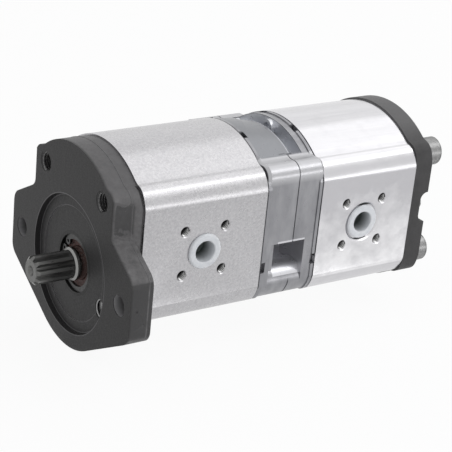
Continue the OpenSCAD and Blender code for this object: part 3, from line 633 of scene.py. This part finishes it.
# %% [markdown]
# ## Metal of the threads
# A freshly cut thread glints at the mouth of its hole. The port threads lie behind the cover (X
# above
# 18 mm), and painted shade darkens them further in. The cover's own lie in front of that. They are
# painted dark all through, as shade, and those of the lower holes get a painted highlight that
# makes them a little paler than the upper ones.

# %% Threads that glint at the mouth
BEHIND_COVER = 18


def tapped_thread(name, shine):
    f = Finish(name, 0.2, metallic=1.0)
    f.colour(f.noise(0.8, detail=3), (shine - 0.06,) * 3, (shine + 0.06,) * 3)
    # Painted shade: the port threads go dark further into their holes.
    deep = f.falls(f.away(f.place("Y")), 39.5, 42.5)
    in_port = f.rises(f.place("X"), BEHIND_COVER, BEHIND_COVER + 1)
    f.tint(f.both(deep, in_port), (0.03, 0.03, 0.03))
    in_cover = f.falls(f.place("X"), BEHIND_COVER, BEHIND_COVER + 1)
    # Painted highlight on the threads of the cover's lower holes.
    f.tint(f.both(f.falls(f.place("Z"), -4, 0, 0.25), in_cover), (0.7, 0.7, 0.7))
    f.rough(f.noise(0.5), 0.15, 0.25)
    f.bump([(f.noise(0.5), 0.01, 0.2)])
    return f.material


TAPPED = tapped_thread("port_thread", 0.56)
# The cover's threads are painted dark all through, as shade in their holes.
COVER_THREAD = tapped_thread("cover_thread", 0.1)
print("finishes:", TAPPED.name, COVER_THREAD.name)

# %% [markdown]
# ## Rubber and plastic
# The lip seal is brown rubber that turns black at its outer case. The transport caps are milky
# plastic: light enters them a little way, and painted shade darkens their hollow towards its
# bottom.

# %% Soft pieces
SEAL_CASE_R = 12.4


def rubber(name, dark, light, case_radius=None):
    f = Finish(name, 0.6)
    grain = f.noise(1.0, detail=3)
    f.colour(grain, dark, light)
    if case_radius:
        f.tint(f.rises(f.radius(), case_radius, case_radius + 0.6), (0.012, 0.012, 0.013))
    f.rough(grain, 0.5, 0.7)
    f.bump([(grain, 0.03, 0.3)])
    return f.material


def cap_plastic():
    f = Finish("cap_plastic", 0.35)
    haze = f.noise(3, detail=2)
    f.colour(haze, (0.68, 0.7, 0.73), (0.76, 0.775, 0.8))
    # Painted shade: the cap's hollow goes dark towards its bottom.
    f.tint(f.falls(f.away(f.place("Y")), 36, PORT_FACE - 0.5), (0.1, 0.115, 0.11))
    f.set("Subsurface Weight", 0.3)
    f.set("Subsurface Radius", (0.004, 0.004, 0.004))
    f.set("Subsurface Scale", 1.0)
    f.rough(haze, 0.3, 0.42)
    f.bump([(f.noise(1.5), 0.02, 0.3)])
    return f.material


BROWN_RUBBER = rubber("brown_rubber", (0.03, 0.013, 0.011), (0.09, 0.036, 0.03), SEAL_CASE_R)
BLACK_RUBBER = rubber("black_rubber", (0.015, 0.015, 0.015), (0.03, 0.03, 0.03))
PLASTIC = cap_plastic()
print("finishes:", BROWN_RUBBER.name, BLACK_RUBBER.name, PLASTIC.name)

# %% [markdown]
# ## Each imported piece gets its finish
# The record names a material for each piece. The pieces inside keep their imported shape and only
# get a finish.

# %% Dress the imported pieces
BY_SLOT = {
    "cast_iron_cover": IRON, "front_extrusion": BLASTED, "rear_extrusion": DRAWN,
    "plate_alloy": DIE_CAST, "block_alloy": BLOCK, "bush_bronze": BRONZE,
    "shaft_steel": SHAFT_STEEL, "gear_steel": GEAR_STEEL, "ring_steel": RING_STEEL,
    "zinc_screw": ZINC, "seal_rubber_brown": BROWN_RUBBER,
    "seal_rubber_black": BLACK_RUBBER, "cap_plastic": PLASTIC,
}
for node, slot in slots.items():
    dress(nodes[node], BY_SLOT[slot])
print("made", len(BY_SLOT), "finishes")

# %% [markdown]
# ## Where the rounds are wide
# A casting has wide rounds on its outer rims, and small ones where a tool cut it: at its bores, its
# recess and its holes. So the front rim is every edge of the front face that is on no circle. The
# port faces of the bodies are milled, and their long edges stay crisp.

# %% Rims with a wide round
HOLES = [(0, 0, RECESS_R), (0, 0, TURNED_R), (-EAR_HOLE_AT, 0, 5.5), (EAR_HOLE_AT, 0, 5.5)]
HOLES += [(y, GEAR_MIDDLE + z, 5.8) for y in (-SCREW_AT, SCREW_AT) for z in (-SCREW_AT, SCREW_AT)]
COVER_OUTSIDE = 35.5
REAR_COVER_X = 206.3
CAP_RIM_AT = 44.6


def front_rim(point):
    if point.x > 0.05:
        return False
    return all(abs(math.hypot(point.y - y, point.z - z) - r) > 0.2 for y, z, r in HOLES)


def back_rim(point):
    outside = max(abs(point.y), abs(point.z - GEAR_MIDDLE)) > COVER_OUTSIDE
    return point.x > REAR_COVER_X and outside


def cap_rim(point):
    return abs(point.y) > CAP_RIM_AT


def crisp_port_edges(obj):
    for edge in obj.data.edges:
        ends = [obj.data.vertices[i].co / MM for i in edge.vertices]
        if all(abs(abs(end.y) - PORT_FACE) < 0.3 and
               abs(abs(end.z - GEAR_MIDDLE) - PORT_EDGE) < 0.3 for end in ends):
            edge.use_edge_sharp = True


print(len(HOLES), "circles stay out of the wide round")

# %% [markdown]
# ## Corners of the plates
# A plate's four screw lobes meet the bodies with slightly smaller corners. An edge loop is cut a
# little way in, and the corners of the plate's face are then drawn in towards each screw.

# %% Ease the corners of a plate
LOBE_R = 9


def ease_corners(obj, face, loop, share):
    bpy.ops.object.mode_set(mode="EDIT")
    bpy.ops.mesh.select_all(action="SELECT")
    bpy.ops.mesh.bisect(plane_co=(loop * MM, 0, 0), plane_no=(1, 0, 0))
    for y in (-SCREW_AT, SCREW_AT):
        for z in (-SCREW_AT, SCREW_AT):
            bpy.ops.mesh.select_all(action="DESELECT")
            bpy.ops.object.mode_set(mode="OBJECT")
            for vertex in obj.data.vertices:
                away = vertex.co / MM - Vector((face, y, GEAR_MIDDLE + z))
                outer = away.y * y > 0 and away.z * z > 0 and away.yz.length > LOBE_R
                vertex.select = abs(away.x) < 0.05 and outer
            bpy.ops.object.mode_set(mode="EDIT")
            bpy.ops.transform.resize(value=(1, share, share),
                                     center_override=(face * MM, y * MM, (GEAR_MIDDLE + z) * MM))
    bpy.ops.object.mode_set(mode="OBJECT")
    print(obj.name, "corners eased")


EASED = {"front_end_plate": (FRONT_JOINT, 94.9, 0.9), "rear_end_plate": (REAR_JOINT, 128.2, 0.93)}

# %% [markdown]
# ## Rounded pieces
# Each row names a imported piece, its new name, the width of its round in millimetres, how many
# faces make the round, its finish, and where and how wide the wide round is. The shaft gets a
# second finish from its journal back.

# %% Round the visible pieces
JOURNAL_FROM = 1.3
ROUNDS = [
    ("front_cover", "front_cover_casting", 0.5, 4, COVER_IRON, front_rim, 2.2),
    ("rear_cover", "rear_cover_casting", 0.5, 3, IRON, back_rim, 1.6),
    ("front_body", "front_body_extrusion", 0.2, 2, BLASTED, None, 0),
    ("rear_body", "rear_body_extrusion", 0.25, 2, DRAWN, None, 0),
    ("front_end_plate", "front_plate_casting", 0.6, 3, DIE_CAST, None, 0),
    ("rear_end_plate", "rear_plate_casting", 0.6, 3, DIE_CAST, None, 0),
    ("drive_shaft", "splined_shaft", 0.1, 2, SHAFT_STEEL, None, 0),
    ("shaft_seal", "lip_seal", 0.2, 2, BROWN_RUBBER, None, 0),
    ("long_screws", "long_socket_screws", 0.4, 2, ZINC, None, 0),
    ("screw_washers", "flat_washers", 0.3, 2, ZINC, None, 0),
    ("channel_plug", "blanking_plug", 0.2, 2, ZINC, None, 0),
    ("seal_retaining_ring", "circlip", 0.15, 2, RING_STEEL, None, 0),
    ("front_pressure_cap", "front_pressure_plug", 0.25, 3, PLASTIC, cap_rim, 0.7),
    ("rear_pressure_cap", "rear_pressure_plug", 0.25, 3, PLASTIC, cap_rim, 0.7),
    ("front_suction_cap", "front_suction_plug", 0.25, 3, PLASTIC, cap_rim, 0.7),
    ("rear_suction_cap", "rear_suction_plug", 0.25, 3, PLASTIC, cap_rim, 0.7),
]
for node, name, width, segments, material, wide, wide_width in ROUNDS:
    piece = rounded(node, name, width, segments, wide, wide_width)
    if node in ("front_body", "rear_body"):
        crisp_port_edges(piece)
    dress(piece, material)
    if node == "drive_shaft":
        piece.data.materials.append(JOURNAL_STEEL)
        for face in piece.data.polygons:
            face.material_index = int(face.center.x > JOURNAL_FROM * MM)
    stand_for(piece, node)
    print(name, len(piece.data.polygons), "faces")

# %% [markdown]
# ## Parting bead
# The mould leaves a thin bead where its halves met. It is taken from the cover itself: a plane
# cuts the cover, the cut's outer line stays, and a thin round bead runs along it. The ears and the
# lower half have none. The bead's ends are drawn in, so that it stays within the cover's width.

# %% Parting bead of the front cover
BEAD_R = 0.22
BEAD_ABOVE = 12
BORE_AND_LOBES = [(0, 0, 18)] + [(y, z, 7) for y, z, r in HOLES[2:]]


def parting_bead(node, x, radius):
    obj = copy_of(node, "parting_bead")
    bpy.ops.object.mode_set(mode="EDIT")
    bpy.ops.mesh.select_all(action="SELECT")
    bpy.ops.mesh.bisect(plane_co=(x * MM, 0, 0), plane_no=(1, 0, 0),
                        clear_inner=True, clear_outer=True)
    bpy.ops.mesh.select_all(action="DESELECT")
    bpy.ops.object.mode_set(mode="OBJECT")
    for vertex in obj.data.vertices:
        y, z = vertex.co.y / MM, vertex.co.z / MM
        inside = any(math.hypot(y - a, z - b) < r for a, b, r in BORE_AND_LOBES)
        vertex.select = z < BEAD_ABOVE or inside
    bpy.ops.object.mode_set(mode="EDIT")
    bpy.ops.mesh.delete(type="VERT")
    bpy.ops.object.mode_set(mode="OBJECT")
    select_only(obj)
    bpy.ops.object.convert(target="CURVE")
    obj.data.bevel_depth = radius * MM
    obj.data.bevel_resolution = 2
    obj.data.use_fill_caps = True
    bpy.ops.object.convert(target="MESH")
    reach = cad_high.y - 0.02 * MM
    for vertex in obj.data.vertices:
        vertex.co.y = max(-reach, min(reach, vertex.co.y))
    smooth(obj, 60)
    return obj


bead = parting_bead("front_cover", PARTING_X, BEAD_R)
dress(bead, COVER_IRON)
belongs_to(bead, "front_cover")
print("bead", len(bead.data.polygons), "faces")

# %% [markdown]
# ## Sand pits
# Grains of sand leave small pits in a casting's side. A few spheres, joined into one cutter, are
# taken out of the cover with a Boolean, and the cutter is then removed.

# %% Sand pits in the front cover's side
PITS = [(3.0, -41.9, 40.3, 0.8), (4.2, -42.0, 38.9, 0.5), (4.1, -64.2, 0.5, 0.7),
        (9.0, -43.2, 33.0, 0.4), (8.2, -64.2, -7.0, 0.4)]
casting = bpy.data.objects["front_cover_casting"]
cutters = []
for x, y, z, r in PITS:
    bpy.ops.mesh.primitive_ico_sphere_add(subdivisions=2, radius=r * MM,
                                          location=(x * MM, y * MM, z * MM))
    cutters.append(bpy.context.active_object)
select_only(cutters[0])
for cutter in cutters:
    cutter.select_set(True)
bpy.ops.object.join()
cut = casting.modifiers.new("pits", "BOOLEAN")
cut.operation = "DIFFERENCE"
cut.object = cutters[0]
cut.solver = "EXACT"
apply_modifiers(casting)
smooth(casting)
bpy.data.objects.remove(cutters[0])
print("casting with pits", len(casting.data.polygons), "faces")

# %% [markdown]
# ## Threads
# A thread is one small triangle swept along a helix. The Screw modifier does the sweep, and the
# finished thread is copied to every hole of its size. Those of the cover's four holes show where
# the long screws end short of the face.

# %% One helical thread
STEPS_PER_TURN = 40


def thread(name, hole_r, pitch, length, depth):
    bpy.ops.object.select_all(action="DESELECT")
    bpy.ops.mesh.primitive_circle_add(
        vertices=3, radius=pitch * 0.42 * MM, location=(hole_r * MM, 0, 0),
        rotation=(math.radians(90), math.radians(-90), 0))
    obj = bpy.context.active_object
    obj.name = name
    obj.scale.y = depth / (pitch * 0.63)
    bpy.ops.object.transform_apply(location=True, rotation=True, scale=True)
    sweep = obj.modifiers.new("helix", "SCREW")
    sweep.axis = "Z"
    sweep.screw_offset = pitch * MM
    sweep.iterations = max(1, round(length / pitch))
    sweep.steps = sweep.render_steps = STEPS_PER_TURN
    apply_modifiers(obj)
    bpy.ops.object.mode_set(mode="EDIT")
    bpy.ops.mesh.select_all(action="SELECT")
    bpy.ops.mesh.remove_doubles(threshold=0.001 * MM)
    bpy.ops.mesh.normals_make_consistent(inside=False)
    bpy.ops.object.mode_set(mode="OBJECT")
    smooth(obj)
    return obj


print("a thread has", STEPS_PER_TURN, "steps to each turn")

# %% [markdown]
# The thread stands upright when it is made, so it is turned to the axis of its hole and then
# copied. Copies that belong to one piece are joined into one mesh.

# %% Turn a thread and copy it
TURNS = {"x": (0, 90, 0), "-y": (90, 0, 0), "y": (-90, 0, 0)}


def turned_to(obj, axis):
    obj.rotation_euler = [math.radians(a) for a in TURNS[axis]]
    select_only(obj)
    bpy.ops.object.transform_apply(location=False, rotation=True, scale=False)


def copies_at(obj, places):
    made = []
    for place in places:
        other = obj.copy()
        other.data = obj.data.copy()
        bpy.context.scene.collection.objects.link(other)
        other.location = Vector(place) * MM
        made.append(other)
    select_only(made[0])
    for other in made:
        other.select_set(True)
    bpy.ops.object.transform_apply(location=True, rotation=True, scale=True)
    bpy.ops.object.join()
    bpy.data.objects.remove(obj)
    return made[0]


print("threads turn to", ", ".join(TURNS))

# %% [markdown]
# The pressure ports have four M6 holes on a 35 mm circle, and the suction ports on a 40 mm one. The
# cover's holes take M10 screws. Each row gives a hole's radius, the pitch, the threaded length,
# the depth of the thread and its axis, and then the piece, the finish and the places.

# %% Threads of the cover and the ports
THREAD_START = 43.0
PRESSURE_HALF = 12.375
SUCTION_HALF = 14.14


def square_at(x, y, half):
    return [(x + a, y, GEAR_MIDDLE + b) for a in (-half, half) for b in (-half, half)]


THREADS = [
    ("upper_cover_threads", 5.05, 1.5, 4.5, 0.85, "x", "front_cover", COVER_THREAD,
     [(0.9, y, GEAR_MIDDLE + SCREW_AT) for y in (-SCREW_AT, SCREW_AT)]),
    ("lower_cover_threads", 5.05, 1.5, 1.5, 0.85, "x", "front_cover", COVER_THREAD,
     [(3.8, y, GEAR_MIDDLE - SCREW_AT) for y in (-SCREW_AT, SCREW_AT)]),
    ("front_pressure_threads", 2.52, 1.0, 9, 0.4, "y", "front_body", TAPPED,
     square_at(FRONT_PORT_X, -THREAD_START, PRESSURE_HALF)),
    ("rear_pressure_threads", 2.52, 1.0, 9, 0.4, "y", "rear_body", TAPPED,
     square_at(REAR_PORT_X, -THREAD_START, PRESSURE_HALF)),
    ("front_suction_threads", 2.52, 1.0, 9, 0.4, "-y", "front_body", TAPPED,
     square_at(FRONT_PORT_X, THREAD_START, SUCTION_HALF)),
    ("rear_suction_threads", 2.52, 1.0, 9, 0.4, "-y", "rear_body", TAPPED,
     square_at(REAR_PORT_X, THREAD_START, SUCTION_HALF)),
]
for name, hole_r, pitch, length, depth, axis, node, material, places in THREADS:
    one = thread("one_" + name, hole_r, pitch, length, depth)
    turned_to(one, axis)
    piece = copies_at(one, places)
    piece.name = name
    dress(piece, material)
    belongs_to(piece, node)
    print(name, len(piece.data.polygons), "faces")

# %% [markdown]
# ## Knurled screw heads
# A socket head is knurled all round. A ring of narrow faces is inset and pushed in one by one,
# which leaves the ridges standing.

# %% Knurled sleeves round the four heads
HEAD_R, HEAD_LENGTH, HEAD_X = 8.12, 7.6, 213.6
RIDGES, RIDGE_GAP, RIDGE_DEPTH = 64, 0.1, 0.22


def knurled_sleeve():
    bpy.ops.object.select_all(action="DESELECT")
    bpy.ops.mesh.primitive_cylinder_add(
        vertices=RIDGES, radius=HEAD_R * MM, depth=HEAD_LENGTH * MM, end_fill_type="NOTHING",
        rotation=(0, math.radians(90), 0))
    obj = bpy.context.active_object
    bpy.ops.object.transform_apply(location=True, rotation=True, scale=True)
    bpy.ops.object.mode_set(mode="EDIT")
    bpy.ops.mesh.select_all(action="SELECT")
    bpy.ops.mesh.inset(thickness=RIDGE_GAP * MM, depth=-RIDGE_DEPTH * MM, use_individual=True)
    bpy.ops.mesh.select_all(action="SELECT")
    bpy.ops.mesh.normals_make_consistent(inside=False)
    bpy.ops.object.mode_set(mode="OBJECT")
    return obj


heads = copies_at(knurled_sleeve(), [(HEAD_X, y, GEAR_MIDDLE + z) for y in (-SCREW_AT, SCREW_AT)
                                     for z in (-SCREW_AT, SCREW_AT)])
heads.name = "knurled_heads"
dress(heads, ZINC)
belongs_to(heads, "long_screws")
print("knurls", len(heads.data.polygons), "faces")

# %% [markdown]
# ## White that gives no light
# The picture's background is pure white. A background that bright would flood the pump with light,
# so it is white only to rays that come from the camera, a mirror or a clear piece. A Light Path
# node tells those rays apart.

# %% What the camera, mirrors and clear pieces see
def seen_directly(tree):
    path = tree.nodes.new("ShaderNodeLightPath")
    total = path.outputs["Is Camera Ray"]
    for name in ("Is Glossy Ray", "Is Transmission Ray"):
        most = tree.nodes.new("ShaderNodeMath")
        most.operation = "MAXIMUM"
        tree.links.new(total, most.inputs[0])
        tree.links.new(path.outputs[name], most.inputs[1])
        total = most.outputs[0]
    return total


print("white to camera, glossy and transmission rays")

# %% [markdown]
# ## Floor
# The floor is pale matt paper, just under the pump. It glows to the same rays, so that it meets
# the background, and the rest of it takes the pump's soft shadow.

# %% Floor
FLOOR_SIZE = 8
PAPER_WHITE = 0.93

bpy.ops.mesh.primitive_plane_add(size=FLOOR_SIZE, location=(0, 0, cad_low.z))
floor = bpy.context.active_object
floor.name = "floor"
paper = Finish("floor_paper", 0.9)
paper.colour(paper.noise(400), (0.9, 0.9, 0.9), (0.93, 0.93, 0.93))
floor.data.materials.append(paper.material)

tree = paper.tree
glow = tree.nodes.new("ShaderNodeEmission")
mix = tree.nodes.new("ShaderNodeMixShader")
share = paper.maths("MULTIPLY", seen_directly(tree), PAPER_WHITE)
tree.links.new(share, mix.inputs["Fac"])
tree.links.new(paper.shader.outputs["BSDF"], mix.inputs[1])
tree.links.new(glow.outputs["Emission"], mix.inputs[2])
tree.links.new(mix.outputs["Shader"], tree.nodes["Material Output"].inputs["Surface"])
print("floor at", round(cad_low.z / MM, 1), "mm")

# %% [markdown]
# ## Background
# All other rays meet a plain pale light that is a little blue. It fills the shadows from every
# side, and its strength sets how dark they get.

# %% Background
AMBIENT = 0.62

world = bpy.data.worlds.new("studio")
bpy.context.scene.world = world
world.use_nodes = True
tree = world.node_tree
ambient = tree.nodes["Background"]
ambient.inputs["Color"].default_value = (0.97, 0.98, 1.0, 1)
ambient.inputs["Strength"].default_value = AMBIENT
white = tree.nodes.new("ShaderNodeBackground")
white.inputs["Strength"].default_value = 1.0
white.inputs["Color"].default_value = (1, 1, 1, 1)
mix = tree.nodes.new("ShaderNodeMixShader")
tree.links.new(seen_directly(tree), mix.inputs["Fac"])
tree.links.new(ambient.outputs["Background"], mix.inputs[1])
tree.links.new(white.outputs["Background"], mix.inputs[2])
tree.links.new(mix.outputs["Shader"], tree.nodes["World Output"].inputs["Surface"])
print("background light is", AMBIENT)

# %% [markdown]
# ## Lamps
# Four soft boxes do the lighting. The low one and the middle one are the two bright bands that the
# rounded corners mirror, and the gap between them is the dark band. The overhead one and the back
# one lift the crowns. Each row gives the direction, the distance, the box's two sides in metres,
# and how bright its face is.

# %% Lamps
MIDDLE = Vector((0.1, 0, 0.03))
BOXES = [
    ("low_front_box", (0.54, -0.84, 0.0), 0.7, (0.9, 0.14), 1.7),
    ("middle_box", (0.54, -0.48, 0.69), 1.2, (1.5, 0.3), 1.5),
    ("overhead_box", (0.54, -0.12, 0.83), 1.3, (1.6, 0.9), 0.6),
    ("back_box", (0.54, 0.62, 0.5), 1.6, (1.6, 0.9), 0.16),
]


def soft_box(name, toward, distance, size, radiance):
    lamp = bpy.data.lights.new(name, "AREA")
    lamp.shape = "RECTANGLE"
    lamp.size, lamp.size_y = size
    lamp.energy = radiance * math.pi * size[0] * size[1]
    obj = bpy.data.objects.new(name, lamp)
    bpy.context.scene.collection.objects.link(obj)
    direction = Vector(toward).normalized()
    obj.location = MIDDLE + direction * distance
    obj.rotation_euler = direction.to_track_quat("Z", "Y").to_euler()


for box in BOXES:
    soft_box(*box)
print(len(BOXES), "lamps are up")

# %% [markdown]
# ## Colours
# The Standard view shows colours as they are written.

# %% Colour management
bpy.context.scene.view_settings.view_transform = "Standard"
bpy.context.view_layer.update()
